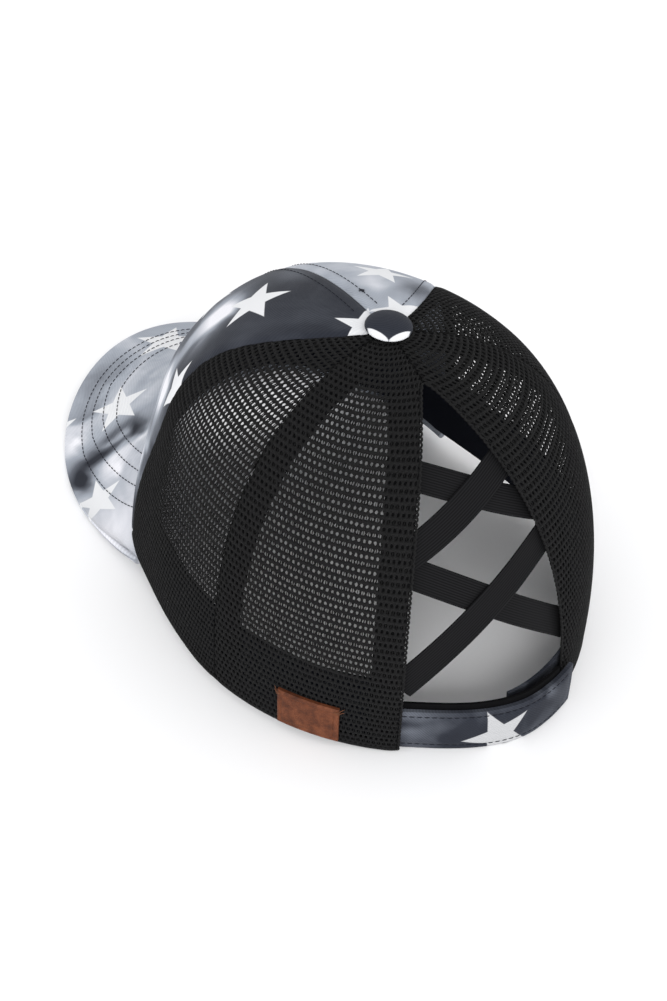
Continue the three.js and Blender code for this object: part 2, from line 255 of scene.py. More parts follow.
def brim_up(share, out, step=0.02):
    across = brim_middle(share + step, out) - brim_middle(share - step, out)
    outward = brim_middle(share, out + step) - brim_middle(share, out - step)
    return unit(np.cross(outward, across))


def to_row(points):
    """Points in the row frame, in metres."""
    x, y, z = np.moveaxis(np.asarray(points, float), -1, 0)
    cosine, sine = math.cos(REST_PITCH), math.sin(REST_PITCH)
    row = [x, y * cosine - z * sine + REST_BACK, y * sine + z * cosine + REST_LIFT]
    return np.stack(row, -1) / 1000


def add_object(name, data):
    obj = bpy.data.objects.new(name, data)
    bpy.context.scene.collection.objects.link(obj)
    return obj


def make_object(name, points, faces, material, uvs=None, sharp=None):
    """A mesh object in the row frame, kept above the floor. uvs has one pair a vertex."""
    mesh = bpy.data.meshes.new(name)
    row = to_row(points)
    row[:, 2] = np.maximum(row[:, 2], 0)
    mesh.from_pydata(row.tolist(), [], [list(map(int, face)) for face in faces])
    mesh.validate()
    mesh.update()
    mesh.shade_smooth()
    if sharp is not None:
        mesh.set_sharp_from_angle(angle=math.radians(sharp))
    if uvs is not None:
        layer = mesh.uv_layers.new(name="cloth")
        corners = np.zeros(len(mesh.loops), np.int32)
        mesh.loops.foreach_get("vertex_index", corners)
        layer.data.foreach_set("uv", np.asarray(uvs, np.float32)[corners].ravel())
    obj = add_object(name, mesh)
    mesh.materials.append(material)
    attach(obj, "root")
    return obj


def make_joined(name, parts, material, sharp=None):
    """One object from several closed meshes, each given as points and faces."""
    points, faces, base = [], [], 0
    for part_points, part_faces in parts:
        points.append(part_points)
        faces += [[k + base for k in face] for face in part_faces]
        base += len(part_points)
    return make_object(name, np.concatenate(points), faces, material, sharp=sharp)


def grid_faces(rows, columns, base=0, flip=False, closed=False):
    span = columns if closed else columns - 1
    j, i = np.meshgrid(np.arange(rows - 1), np.arange(span), indexing="ij")
    right = (i + 1) % columns
    low, high = j * columns, (j + 1) * columns
    quad = np.stack([low + i, low + right, high + right, high + i], -1).reshape(-1, 4)
    return (quad[:, ::-1] if flip else quad) + base


def shell(outer, inner):
    """Closed plate between two grids of points of the same size, the outer one seen
    with its columns running to the right and its rows running up."""
    rows, columns = outer.shape[:2]
    count = rows * columns
    points = np.concatenate([outer.reshape(-1, 3), inner.reshape(-1, 3)])
    faces = [grid_faces(rows, columns), grid_faces(rows, columns, count, flip=True)]
    index = np.arange(count).reshape(rows, columns)
    ring = np.concatenate([index[0], index[1:, -1], index[-1, -2::-1], index[-2:0:-1, 0]])
    after = np.roll(ring, -1)
    faces.append(np.stack([ring, ring + count, after + count, after], -1))
    return points, np.concatenate(faces)


def cloth_places(u, v, sides=2):
    """Cloth coordinates in mm for a grid of points, once for each side of its shell."""
    one = np.stack(np.broadcast_arrays(u, v), -1).reshape(-1, 2)
    return np.concatenate([one] * sides)


def seam_dip(distance, depth, width):
    return depth * np.exp(-((distance / width) ** 2))


def tube(path, outward, radius_out, radius_side, sides=6):
    """Closed tube along a path, flattened towards its outward direction."""
    path = np.asarray(path, float)
    along = unit(np.gradient(path, axis=0))
    side = unit(np.cross(along, outward))
    lift = unit(np.cross(side, along))
    turns = np.linspace(0, 2 * np.pi, sides, endpoint=False)
    taper = np.ones(len(path))
    taper[0] = taper[-1] = END_TAPER
    ring = (
        side[:, None] * np.cos(turns)[None, :, None] * radius_side
        + lift[:, None] * np.sin(turns)[None, :, None] * radius_out
    ) * taper[:, None, None]
    points = (path[:, None] + ring).reshape(-1, 3)
    faces = grid_faces(len(path), sides, closed=True).tolist()
    last = (len(path) - 1) * sides
    faces.append(list(range(sides))[::-1])
    faces.append([last + k for k in range(sides)])
    return points, faces


def resample(path, normals, step):
    lengths = lengths_along(path)
    at = np.arange(0, lengths[-1], step)

    def pick(values):
        return np.stack([np.interp(at, lengths, values[:, k]) for k in range(3)], -1)

    return pick(path), unit(pick(normals))


def stitches(path, normals, pitch, length, radius):
    """Short arched threads along a path on a surface."""
    path, normals = resample(path, normals, STITCH_SAMPLE)
    step, span = int(pitch / STITCH_SAMPLE), int(length / STITCH_SAMPLE)
    parts = []
    for start in range(0, len(path) - span, step):
        picks = np.linspace(start, start + span, len(STITCH_BOW)).astype(int)
        line = path[picks] + normals[picks] * (STITCH_BOW * radius / BOW_RADIUS)[:, None]
        parts.append(tube(line, normals[picks], radius * 0.8, radius, 5))
    return parts


def new_material(name):
    material = bpy.data.materials.new(name)
    material.use_nodes = True
    tree = material.node_tree
    tree.nodes.clear()
    output = tree.nodes.new("ShaderNodeOutputMaterial")
    shader = tree.nodes.new("ShaderNodeBsdfPrincipled")
    tree.links.new(shader.outputs[0], output.inputs[0])
    return material, tree, shader


def fill(tree, node, inputs):
    """Link or set a node's inputs, given by name or number."""
    for key, value in inputs.items():
        if isinstance(value, bpy.types.NodeSocket):
            tree.links.new(value, node.inputs[key])
        else:
            node.inputs[key].default_value = value


def add_node(tree, kind, inputs, output=0, **settings):
    """A new node with its settings and inputs. Gives its output."""
    node = tree.nodes.new(kind)
    for name, value in settings.items():
        setattr(node, name, value)
    fill(tree, node, inputs)
    return node.outputs[output]


def maths(tree, operation, *values, clamp=False):
    inputs = dict(enumerate(values))
    return add_node(tree, "ShaderNodeMath", inputs, operation=operation, use_clamp=clamp)


def vector_maths(tree, operation, *values, output=0):
    inputs = dict(enumerate(values))
    return add_node(tree, "ShaderNodeVectorMath", inputs, output, operation=operation)


def weighted(tree, first, first_share, second, second_share):
    """The sum of two values, each times its share."""
    one = maths(tree, "MULTIPLY", first, first_share)
    other = maths(tree, "MULTIPLY", second, second_share)
    return maths(tree, "ADD", one, other)


def swung(tree, value, size, base):
    """base, plus size times how far the value lies above a half."""
    return maths(tree, "MULTIPLY_ADD", maths(tree, "SUBTRACT", value, 0.5), size, base)


def blend_colours(tree, share, low, high):
    inputs = {"Factor": share, "A": low, "B": high}
    return add_node(tree, "ShaderNodeMix", inputs, "Result", data_type="RGBA")


def ramp(tree, share, stops):
    node = tree.nodes.new("ShaderNodeValToRGB")
    elements = node.color_ramp.elements
    while len(elements) < len(stops):
        elements.new(0.5)
    for element, (place, colour) in zip(elements, stops):
        element.position = place
        element.color = (*colour, 1)
    tree.links.new(share, node.inputs[0])
    return node.outputs[0]


def coordinates(tree, kind="Object"):
    return add_node(tree, "ShaderNodeTexCoord", {}, kind)


def coordinates_in_mm(tree):
    inputs = {"Vector": coordinates(tree), "Scale": (1000, 1000, 1000)}
    return add_node(tree, "ShaderNodeMapping", inputs)


def cloth_coordinates(tree):
    return add_node(tree, "ShaderNodeUVMap", {}, uv_map="cloth")


def noise(tree, vector, scale, detail=3.0, roughness=0.5, distortion=0.0):
    inputs = {"Vector": vector, "Scale": scale, "Detail": detail}
    inputs |= {"Roughness": roughness, "Distortion": distortion}
    return add_node(tree, "ShaderNodeTexNoise", inputs, "Fac")


def wave(tree, vector, scale, direction, distortion):
    inputs = {"Vector": vector, "Scale": scale, "Distortion": distortion}
    return add_node(tree, "ShaderNodeTexWave", inputs, "Fac", bands_direction=direction)


def bump(tree, height, distance, strength):
    inputs = {"Strength": strength, "Distance": distance, "Height": height}
    return add_node(tree, "ShaderNodeBump", inputs)


def finish(tree, shader, colour, roughness, sheen, specular, relief):
    inputs = {"Base Color": colour, "Roughness": roughness, "Sheen Weight": sheen}
    fill(tree, shader, inputs | {"Specular IOR Level": specular, "Normal": relief})


VECTOR, NUMBER = "NodeSocketVector", "NodeSocketFloat"


def make_group(name, inputs, work):
    """A node group whose one output is what work makes of its inputs."""
    group = bpy.data.node_groups.new(name, "ShaderNodeTree")
    for socket, kind in inputs.items():
        group.interface.new_socket(socket, in_out="INPUT", socket_type=kind)
    group.interface.new_socket("Result", in_out="OUTPUT", socket_type=NUMBER)
    source = group.nodes.new("NodeGroupInput").outputs
    result = group.nodes.new("NodeGroupOutput")
    group.links.new(work(group, source), result.inputs["Result"])
    return group


STAR = {"fold": math.pi / 5, "notch": 0.4, "sharpness": 45.0, "depth": 0.7}


def star_inside(group, source):
    """1 inside a five-pointed star. Across and Up are the star's plane, divided by its radius."""
    offset = vector_maths(group, "SUBTRACT", source["Position"], source["Centre"])
    u, v, w = (
        vector_maths(group, "DOT_PRODUCT", offset, source[axis], output=1)
        for axis in ("Across", "Up", "Normal")
    )
    reach = maths(group, "SQRT", weighted(group, u, u, v, v))
    fold = maths(group, "PINGPONG", maths(group, "ARCTAN2", v, u), STAR["fold"])
    along = maths(group, "MULTIPLY", reach, maths(group, "COSINE", fold))
    beside = maths(group, "MULTIPLY", reach, maths(group, "SINE", fold))
    normal_x = STAR["notch"] * math.sin(STAR["fold"])
    normal_y = 1 - STAR["notch"] * math.cos(STAR["fold"])
    size = math.hypot(normal_x, normal_y)
    side = weighted(group, along, normal_x / size, beside, normal_y / size)
    edge = maths(group, "SUBTRACT", normal_x / size, side)
    inside = maths(group, "MULTIPLY_ADD", edge, STAR["sharpness"], 0.5, clamp=True)
    near = maths(group, "LESS_THAN", maths(group, "ABSOLUTE", w), STAR["depth"])
    return maths(group, "MULTIPLY", inside, near)


def spot_strength(group, source):
    """A soft round spot of added lightness, 1 in its middle: dye, and on the front-left panel also a
    painted highlight.
    """
    distance = vector_maths(group, "DISTANCE", source["Position"], source["Centre"], output=1)
    share = maths(group, "DIVIDE", distance, source["Radius"])
    square = maths(group, "MULTIPLY", share, share)
    return maths(group, "EXPONENT", maths(group, "MULTIPLY", square, -1.0))


STAR_INPUTS = ("Position", "Centre", "Across", "Up", "Normal")
SPOT_INPUTS = {"Position": VECTOR, "Centre": VECTOR, "Radius": NUMBER}
STAR_GROUP = make_group("star", dict.fromkeys(STAR_INPUTS, VECTOR), star_inside)
SPOT_GROUP = make_group("spot", SPOT_INPUTS, spot_strength)

# Dye, from darkest to lightest
DYE = [
    (0.0, (0.008, 0.0095, 0.015)),
    (0.25, (0.0155, 0.018, 0.026)),
    (0.5, (0.095, 0.104, 0.125)),
    (0.75, (0.3, 0.325, 0.37)),
    (1.0, (0.7, 0.7, 0.74)),
]
# A star's colour in the weave's hollows, as shares of its white
STAR_SHADE = (0.86, 0.88, 0.93)
SPOT_WOBBLE = 0.03


def printed_cotton(name, tone, swing, stars, spots, seed, white=0.68, weave=0.3):
    """Tie-dyed twill with printed stars. tone is the dye's mean lightness and swing
    how far it varies; stars are (centre, across, up, normal) in row metres with across
    and up divided by the radius; spots are (centre, radius, added lightness), which are
    patches of dye and, on the front-left panel, also a painted highlight."""
    material, tree, shader = new_material(name)
    position = coordinates(tree)
    moved = vector_maths(tree, "ADD", position, (seed, -seed, seed * 0.5))
    cloudy = noise(tree, moved, 24, 2.5, 0.5, 1.2)
    fine = noise(tree, moved, 85, 3.0, 0.55, 0.8)
    lightness = swung(tree, fine, swing * 0.9, swung(tree, cloudy, swing * 3.2, tone))
    wobble = swung(tree, cloudy, SPOT_WOBBLE, 0.0)
    wobble = add_node(tree, "ShaderNodeCombineXYZ", {0: wobble, 1: wobble, 2: wobble})
    wobbled = vector_maths(tree, "ADD", position, wobble)
    for centre, radius, added in spots:
        inputs = {"Position": wobbled, "Centre": centre, "Radius": radius}
        spot = add_node(tree, "ShaderNodeGroup", inputs, node_tree=SPOT_GROUP)
        lightness = maths(tree, "MULTIPLY_ADD", spot, added, lightness)
    lightness = maths(tree, "ADD", lightness, 0.0, clamp=True)
    threads = cloth_coordinates(tree)
    twill = wave(tree, threads, 0.55, "DIAGONAL", 0.6)
    fuzz = noise(tree, threads, 3.5, 4.0, 0.7)
    grain = weighted(tree, twill, 0.5, fuzz, 0.5)
    shade = maths(tree, "MULTIPLY_ADD", grain, weave, 1 - weave / 2)
    inputs = {0: ramp(tree, lightness, DYE), "Scale": shade}
    colour = add_node(tree, "ShaderNodeVectorMath", inputs, operation="SCALE")
    shaded = (*(white * share for share in STAR_SHADE), 1)
    star_colour = blend_colours(tree, grain, shaded, (white, white, white, 1))
    whole = 0.0
    for star in stars:
        inputs = dict(zip(STAR_INPUTS, (position, *star)))
        inside = add_node(tree, "ShaderNodeGroup", inputs, node_tree=STAR_GROUP)
        whole = maths(tree, "MAXIMUM", whole, inside)
    colour = blend_colours(tree, whole, colour, star_colour)
    finish(tree, shader, colour, 0.82, 0.03, 0.15, bump(tree, grain, 0.00012, 0.8))
    return material


def plain_cloth(name, colour, roughness, scale, depth, variation, sheen=0.02, ribs=None):
    """Cloth of one colour with a fine grain, and ribs of a given scale on elastic."""
    material, tree, shader = new_material(name)
    height = noise(tree, coordinates_in_mm(tree), scale, 4.0, 0.65)
    if ribs:
        ribbed = wave(tree, cloth_coordinates(tree), ribs, "Y", 0.15)
        height = weighted(tree, ribbed, 0.75, height, 0.25)
    dark = tuple(c * (1 - variation) for c in colour)
    light = tuple(min(c * (1 + variation), 1) for c in colour)
    shade = ramp(tree, height, [(0.25, dark), (0.75, light)])
    finish(tree, shader, shade, roughness, sheen, 0.05, bump(tree, height, depth, 0.9))
    return material


# Leather, from darkest to lightest
LEATHER = [
    (0.34, (0.034, 0.009, 0.0035)),
    (0.5, (0.092, 0.026, 0.0095)),
    (0.68, (0.17, 0.055, 0.023)),
]


def leather():
    material, tree, shader = new_material("leather")
    place = coordinates_in_mm(tree)
    patches = noise(tree, place, 0.22, 4.0, 0.6)
    inputs = {"Vector": place, "Scale": 1.7}
    pores = add_node(tree, "ShaderNodeTexVoronoi", inputs, "Distance")
    speckle = noise(tree, place, 2.4, 3.0, 0.7)
    height = weighted(tree, pores, 0.6, speckle, 0.5)
    colour = ramp(tree, weighted(tree, patches, 0.65, speckle, 0.35), LEATHER)
    finish(tree, shader, colour, 0.62, 0.0, 0.2, bump(tree, height, 0.00015, 0.8))
    return material


# Places for the print: a point, then the directions across, up and outward there


def crown_place(theta, phi):
    centre = crown(theta, phi)
    normal = -inward(theta, phi)
    up = crown(theta, min(phi + 1, 89)) - crown(theta, phi - 1)
    up = unit(up - normal * (up @ normal))
    return centre, np.cross(up, normal), up, normal


def brim_place(share, out):
    centre = brim_middle(share, out)
    normal = brim_up(share, out)
    across = np.array([1.0, 0, 0])
    across = unit(across - normal * (across @ normal))
    return centre, across, np.cross(normal, across), normal


def turned(across, up, turn):
    """A direction across, turned towards up by degrees."""
    return across * math.cos(math.radians(turn)) + up * math.sin(math.radians(turn))


def star_axes(place, radius, turn):
    """A star's centre in the row frame, and its axes divided by its radius."""
    centre, across, up, normal = place
    axes = (turned(across, up, turn), turned(up, -across, turn), normal)
    origin = to_row(np.zeros(3))
    scaled = [tuple((to_row(axis) - origin) * 1000 * (1000 / radius)) for axis in axes]
    return [tuple(to_row(centre)), *scaled]


# angle round, angle up, radius, turn
CROWN_STARS = [
    (31.3, 59.8, 13.8, 47),
    (54, 35.2, 12.9, 37.8),
    (320.1, 66.3, 12, 39),
    (50, 87.0, 11.4, 43),
    (300, 85, 10.5, 20),
    (14, 33, 13, 12),
    (342, 24, 13, 40),
    (310, 38, 13, 5),
    (338, 46, 13, 60),
    (30, 12, 13, 20),
]
CLOSURE_STARS = [(172.8, 2.2, 13.2, 40.5)]
# share round, share out, radius, turn
BRIM_STARS = [
    (0.002, 0.751, 16.5, 11.5),
    (0.358, 0.552, 14.3, 20),
    (0.74, 0.65, 12.0, 29),
    (0.5, 1.13, 12.5, 20),
    (-0.2, 0.3, 12.5, 10),
    (-0.38, 0.85, 12.5, 33),
    (-0.62, 0.4, 12.5, 60),
    (-0.85, 0.8, 12.5, 15),
]


def make_stars(place, rows):
    return [star_axes(place(a, b), radius, turn) for a, b, radius, turn in rows]


def make_spots(surface, rows):
    return [(tuple(to_row(surface(a, b))), radius / 1000, added) for a, b, radius, added in rows]


crown_stars = make_stars(crown_place, CROWN_STARS)
brim_stars = make_stars(brim_place, BRIM_STARS)
closure_stars = make_stars(crown_place, CLOSURE_STARS)

# On the crown: angle round, angle up, radius, added lightness
# Front-left panel: lighter dye, and the spots high up near its side edge are a painted highlight, a soft
# light streak
LEFT_DYE_AND_HIGHLIGHT_SPOTS = [
    (36, 46, 9, 0.5),
    (30, 50, 8, 0.4),
    (38, 37, 9, 0.35),
    (41, 23, 13, 0.9),
    (26, 44, 13, 0.3),
    (50, 11, 12, 0.65),
    (10, 20, 25, 0.35),
    (2, 60, 8, 0.18),
]
RIGHT_SPOTS = [
    (299, 73.8, 10, -0.3),
    (330, 20, 25, -0.4),
    (303, 12, 24, -0.35),
    (348, 78, 8, -0.08),
    (322, 74, 8, 0.18),
]
# On the brim: share round, share out, radius, added lightness
BRIM_SPOTS = [
    (0.43, 0.31, 6, -0.4),
    (0.47, 0.38, 5, -0.3),
    (0.51, 0.46, 6, -0.5),
    (0.55, 0.56, 5, -0.35),
    (0.6, 0.68, 6, -0.4),
    (0.65, 0.84, 8, -0.5),
    (0.42, 0.8, 8, -0.15),
    (0.52, 0.88, 6, 0.35),
    (0.57, 0.29, 5, 0.2),
    (0.62, 0.4, 6, 0.4),
    (0.49, 0.2, 5, 0.2),
    (0.9, 0.85, 16, 0.2),
    (0.25, 0.8, 13, -0.2),
    (-0.25, 0.6, 16, -0.4),
    (-0.7, 0.5, 22, -0.45),
]
STRAP_SPOTS = [(151, 5, 9, 0.2), (184.5, 9, 3.5, 0.3), (190, 5, 3, 0.25), (162, 2, 5, -0.1)]
BUTTON_STAR = {"away": 13.3, "radius": 12.4, "turn": 54}


def button_star():
    x, y, z = np.eye(3)
    away = turned(x, y, BUTTON_STAR["turn"]) * BUTTON_STAR["away"]
    place = (np.array([0, -LEAN, HEIGHT]) + away, x, y, z)
    return star_axes(place, BUTTON_STAR["radius"], BUTTON_STAR["turn"])


# Prints: name, tone, swing, stars, spots, seed, white, weave
left_dye_and_highlight_spots, right_spots, strap_spots = (
    make_spots(crown, rows) for rows in (LEFT_DYE_AND_HIGHLIGHT_SPOTS, RIGHT_SPOTS, STRAP_SPOTS)
)
brim_spots = make_spots(brim_middle, BRIM_SPOTS)
# The front-left print's added lightness is partly dye and partly a painted highlight streak
left_print = printed_cotton("print_left", 0.25, 0.07, crown_stars, left_dye_and_highlight_spots, 0.013)
right_print = printed_cotton("print_right", 0.76, 0.14, crown_stars, right_spots, 0.031)
brim_print = printed_cotton("print_brim", 0.74, 0.14, brim_stars, brim_spots, 0.007)
strap_print = printed_cotton("print_strap", 0.28, 0.16, closure_stars, strap_spots, 0.05, 0.43, 0.55)
button_print = printed_cotton("print_button", 0.24, 0.04, [button_star()], [], 0.02)

# Cloths: name, colour, roughness, the grain's scale and depth, variation, sheen
net_black = plain_cloth("net_black", (0.0092, 0.0092, 0.0095), 0.8, 2.2, 0.00012, 0.6)
backing_black = plain_cloth("backing_black", (0.0035, 0.0035, 0.004), 0.9, 1.6, 0.0001, 0.4, 0.0)
elastic_black = plain_cloth(
    "elastic_black", (0.0068, 0.0068, 0.0075), 0.8, 2.5, 0.0001, 0.5, ribs=0.36
)
lining_black = plain_cloth("lining_black", (0.007, 0.008, 0.013), 0.6, 2.0, 0.00005, 0.3, 0.0)
dark_thread = plain_cloth("dark_thread", (0.012, 0.013, 0.019), 0.7, 5.0, 0.00005, 0.3)
brown_thread = plain_cloth("brown_thread", (0.13, 0.055, 0.03), 0.7, 5.0, 0.00005, 0.3)
brown_leather = leather()


def cotton_panel(name, edge_from, edge_to, material):
    rows = np.linspace(0, HOLE_ANGLE, 60)
    shares = np.linspace(0, 1, 56)
    phi = np.repeat(rows[:, None], len(shares), 1)
    low, high = edge_from(rows), edge_to(rows)
    middle = (low + high) / 2
    scale = mm_per_degree(middle, rows)
    margin = 0.12 / scale
    theta = (low + margin)[:, None] + (high - low - 2 * margin)[:, None] * shares
    distance = np.minimum(theta - low[:, None], high[:, None] - theta) * scale[:, None]
    outer = wall(theta, phi, seam_dip(distance, *COTTON_SEAM))
    inner = wall(theta, phi, np.full(theta.shape, COTTON_WALL))
    points, faces = shell(outer, inner)
    lengths = meridian((edge_from(0) + edge_to(0)) / 2, HOLE_ANGLE, len(rows))[1]
    uvs = cloth_places((theta - middle[:, None]) * scale[:, None], lengths[:, None])
    return make_object(name, points, faces, material, uvs, sharp=40)


centre, left, right = (SEAMS[k] for k in ("front_centre", "front_left", "front_right"))
left_seam = drifting(left, DRIFT["left"])
right_seam = drifting(right, DRIFT["right"])
right_seam_turned = drifting(right - 360, DRIFT["right"])
front_left = cotton_panel("front_left", straight(centre), left_seam, left_print)
front_right = cotton_panel("front_right", right_seam_turned, straight(centre), right_print)
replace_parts(front_left, "front_panel_left")
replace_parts(front_right, "front_panel_right")


def tile(column, row, hole):
    """Corner keys of one tile on the lattice, and its hole's ring as places in mm."""
    x0, y0 = 2 * column, 2 * row
    around = [(x0 + k, y0) for k in range(4)]
    around += [(x0 + 4, y0 + k) for k in range(2)]
    around += [(x0 + 4 - k, y0 + 2) for k in range(4)]
    around += [(x0, y0 + 2 - k) for k in range(2)]
    middle = ((x0 + 2) * NET_PITCH / 4, (y0 + 1) * NET_ROW / 2)
    ring = []
    for x, y in around:
        turn = math.atan2((y - y0 - 1), (x - x0 - 2) / 2)
        ring.append((middle[0] + hole[0] / 2 * math.cos(turn), middle[1] + hole[1] / 2 * math.sin(turn)))
    return around, ring, middle


def net_sheet(edge_from, edge_to, height_to, middle, inset, thickness):
    """Net between two edges, laid out in a flat chart that runs up the middle meridian.
    Each hole's ring lies halfway through the net, so the strands are rounded."""
    phis, lengths = meridian(middle)
    keys, places, tiles, crossings = {}, [], [], []

    def span(phi):
        scale = mm_per_degree(middle, phi)
        return scale, (edge_from(phi) - middle) * scale, (edge_to(phi) - middle) * scale

    def vertex(key):
        if key not in keys:
            keys[key] = len(places)
            places.append((key[0] * NET_PITCH / 4, key[1] * NET_ROW / 2, 0))
        return keys[key]

    top = np.interp(height_to, phis, lengths)
    for row in range(int(top / NET_ROW) + 1):
        y = (row + 0.5) * NET_ROW
        phi = np.interp(min(y, top), lengths, phis)
        scale, low, high = span(phi)
        crossed = row % 2
        hole = CROSSED_HOLE if crossed else ROUND_HOLE
        first = int(low / (NET_PITCH / 2)) - 3
        last = int(high / (NET_PITCH / 2)) + 3
        for column in range(first, last):
            if (column + crossed) % 2:
                continue
            around, ring, centre_point = tile(column, row, hole)
            if not low - 0.2 < centre_point[0] < high + 0.2:
                continue
            outside = [vertex(key) for key in around]
            inside = list(range(len(places), len(places) + len(ring)))
            places += [(x, y, 1) for x, y in ring]
            tiles.append((outside, inside))
            if crossed:
                half = CROSS_THREAD / 2
                ends = [centre_point[1] - NET_ROW / 2.4, centre_point[1] + NET_ROW / 2.4]
                base = len(places)
                for end in ends:
                    for side, depth in ((-half, 2), (half, 2), (0, 3)):
                        places.append((centre_point[0] + side, end, depth))
                crossings.append(base)
    places = np.array(places)
    phi = np.interp(np.clip(places[:, 1], 0, top), lengths, phis)
    scale, low, high = span(phi)
    low, high = low + NET_MARGIN, high - NET_MARGIN
    jitter = random.normal(0, UNEVEN, (len(places), 2))
    x = np.clip(places[:, 0] + jitter[:, 0], low, np.maximum(high, low))
    phi = np.interp(np.clip(places[:, 1] + jitter[:, 1] * (places[:, 1] > 0), 0, top), lengths, phis)
    theta = middle + x / scale
    dip = seam_dip(np.minimum(x - low, high - x), *NET_SEAM)
    depths = np.array([0, 0.5, 0.75, 1.25])[places[:, 2].astype(int)] * thickness
    front = wall(theta, phi, inset + dip + depths)
    back = wall(theta, phi, inset + dip + thickness)
    count = len(places)
    quads, edges = [], set()
    for outside, inside in tiles:
        size = len(outside)
        for k in range(size):
            a, b = outside[k], outside[(k + 1) % size]
            c, d = inside[(k + 1) % size], inside[k]
            quads.append((a, b, c, d))
            quads.append((b + count, a + count, d, c))
            if (b, a) in edges:
                edges.remove((b, a))
            else:
                edges.add((a, b))
    for a, b in sorted(edges):
        quads.append((b, a, a + count, b + count))
    for base in crossings:
        for k, after in ((0, 1), (1, 2), (2, 0)):
            quads.append((base + k, base + after, base + after + 3, base + k + 3))
        quads += [(base, base + 2, base + 1), (base + 3, base + 4, base + 5)]
    points = np.concatenate([front, back])
    used = sorted({k for face in quads for k in face})
    new_index = {old: new for new, old in enumerate(used)}
    return points[used], [[new_index[k] for k in face] for face in quads]


def strip(edge, side, width, low, high, inset, thickness, rows=60):
    """Plain band of cloth of a given width beside an edge, on its one side."""
    phi = np.linspace(low, high, rows)
    across = np.linspace(0, 1, 5)
    base = edge(phi)
    scale = mm_per_degree(base, phi)
    theta = base[:, None] + side * (0.15 + across * width)[None, :] / scale[:, None]
    if side < 0:
        theta = theta[:, ::-1]
    grid = np.repeat(phi[:, None], len(across), 1)
    outer = wall(theta, grid, inset + 0 * grid)
    inner = wall(theta, grid, inset + thickness + 0 * grid)
    return shell(outer, inner)


def net_panel(name, edge_from, edge_to, node):
    middle = float((edge_from(0) + edge_to(0)) / 2)
    points, faces = net_sheet(edge_from, edge_to, HOLE_ANGLE, middle, 0.0, NET_THICKNESS)
    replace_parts(make_object(name, points, faces, net_black), node)


rear_left, rear_right = SEAMS["rear_left"], SEAMS["rear_right"]
net_panel("net_side_left", left_seam, straight(rear_left), "side_net_left")
net_panel("net_side_right", straight(rear_right), right_seam, "side_net_right")
net_panel("net_rear_left", straight(rear_left), left_hem, "rear_net_left")
net_panel("net_rear_right", right_hem, straight(rear_right), "rear_net_right")

# Hems round the opening, seam allowances and the folded rim, all under the net
UNDER_NET = NET_THICKNESS + 0.1
HEM = {"width": 10.5, "wall": 0.6, "top": OPENING["top"] - 0.5}
ALLOWANCE = {"narrow": 4.0, "folded": 11.0, "wall": 0.5}
RIM_FOLD = {"low": 0.3, "high": 4.5}
LOOP_SIZE = 0.5
hem_parts = [
    strip(hem, side, HEM["width"], 0, HEM["top"], UNDER_NET, HEM["wall"], 90)
    for hem, side in ((left_hem, -1), (right_hem, 1))
]
make_joined("net_hems", hem_parts, backing_black, sharp=40)

# edge, side that the allowance is folded to, width
FOLDED_SEAMS = [
    (left_seam, 1, ALLOWANCE["narrow"]),
    (straight(rear_left), 1, ALLOWANCE["folded"]),
    (straight(rear_right), -1, ALLOWANCE["folded"]),
    (right_seam, -1, ALLOWANCE["narrow"]),
]
seam_parts = [
    strip(edge, side, width, 0, HOLE_ANGLE, UNDER_NET, ALLOWANCE["wall"])
    for edge, side, width in FOLDED_SEAMS
]
# The seam above the opening
above = (OPENING["top"], HOLE_ANGLE, UNDER_NET, ALLOWANCE["wall"], 12)
for side in (-1, 1):
    seam_parts.append(strip(straight(SEAMS["rear_centre"]), side, ALLOWANCE["narrow"], *above))
make_joined("net_seam_allowances", seam_parts, backing_black, sharp=40)


def along_rim(theta, level, inset):
    """Points of the wall at heights above the rim, and the outward directions there."""
    phi = angle_at(theta, level)
    return wall(theta, phi, inset + 0 * theta), -inward(theta, phi)


# A band's stitches lie this far from its edge, in a groove
STITCH_MARGIN = 2.2
GROOVE_WIDTH = 0.5
EDGE_ROUNDING = 1.2


def band(theta_from, theta_to, low, high, inset, wall_size, columns, rows, puff=0.0, ends=(0, 0)):
    """Band along the rim, with its cloth coordinates. puff is how far its middle swells,
    and ends are what is added to the distance from each end."""
    theta = np.linspace(theta_from, theta_to, columns)
    theta, level = np.meshgrid(theta, np.linspace(low, high, rows))
    phi = angle_at(theta, level)
    outer_inset = inset(theta) if callable(inset) else inset + 0 * theta
    scale = float(mm_per_degree((theta_from + theta_to) / 2, 5.0))
    to_edge = np.minimum(level - low, high - level)
    to_edge = np.minimum(to_edge, (theta - theta_from) * scale + ends[0])
    to_edge = np.minimum(to_edge, (theta_to - theta) * scale + ends[1])
    lift = puff - seam_dip(to_edge, puff, EDGE_ROUNDING)
    lift = lift - seam_dip(to_edge - STITCH_MARGIN, puff * 0.9, GROOVE_WIDTH)
    outer = wall(theta, phi, outer_inset - lift)
    inner = wall(theta, phi, outer_inset + wall_size)
    return *shell(outer, inner), cloth_places((theta - theta_from) * scale, level)


def make_band(name, slot, material, sharp, *size, **more):
    points, faces, uvs = band(*size, **more)
    return make_object(name, points, faces, material, uvs, sharp)


OPENING_FROM, OPENING_TO = float(left_hem(0)), float(right_hem(0))
NET_SPANS = [(left, OPENING_FROM), (OPENING_TO, right)]
rim_parts = [
    tube(*along_rim(np.linspace(low, high, 160), 0.6, 0.4), 0.5, 0.6, 8) for low, high in NET_SPANS
]
make_joined("net_rim", rim_parts, net_black)
fold_size = (RIM_FOLD["low"], RIM_FOLD["high"], UNDER_NET, 0.5, 90, 4)
fold_parts = [band(low, high, *fold_size)[:2] for low, high in NET_SPANS]
make_joined("net_rim_fold", fold_parts, backing_black, sharp=40)

